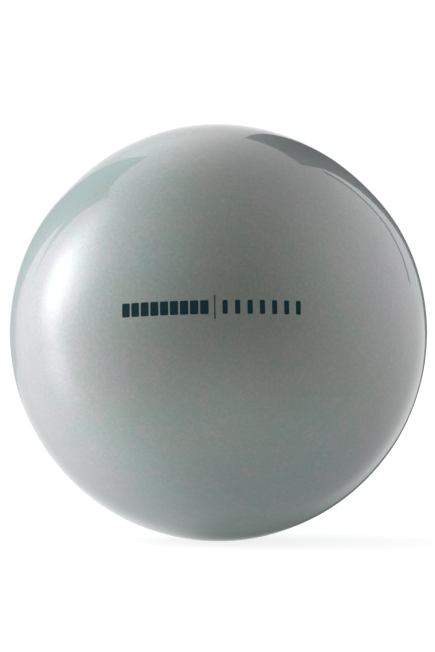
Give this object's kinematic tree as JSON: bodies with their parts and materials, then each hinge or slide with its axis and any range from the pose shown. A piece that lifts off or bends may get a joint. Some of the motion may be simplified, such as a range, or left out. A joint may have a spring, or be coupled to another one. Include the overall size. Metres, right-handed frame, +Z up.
{
  "type": "small soft exercise ball",
  "caption": "Small soft inflatable exercise ball of thin glossy moulded plastic, with a welded valve seat, a push-in plug and a printed strip across its front.",
  "frame": {"origin": "centre of the inflated ball", "axes": "+Z up from the floor that the ball lies on, +Y out of the valve at the back, -Y out of the middle of the front; +X to the right of someone who faces the print"},
  "size_m": [0.22, 0.22, 0.2195],
  "materials": {
    "ball_pvc": "gloss",
    "seat_pvc": "satin",
    "plug_plastic": "satin",
    "print_ink": "satin"
  },
  "bodies": {
    "ball": {"ball_skin": "ball_pvc", "valve_seat": "seat_pvc", "front_print": "print_ink"},
    "plug": {"valve_plug": "plug_plastic"}
  },
  "joints": [
    {"name": "plug_pull", "type": "slide", "parent": "ball", "child": "plug", "axis": [0, 1, 0], "range_m": [0, 0.025]}
  ]
}
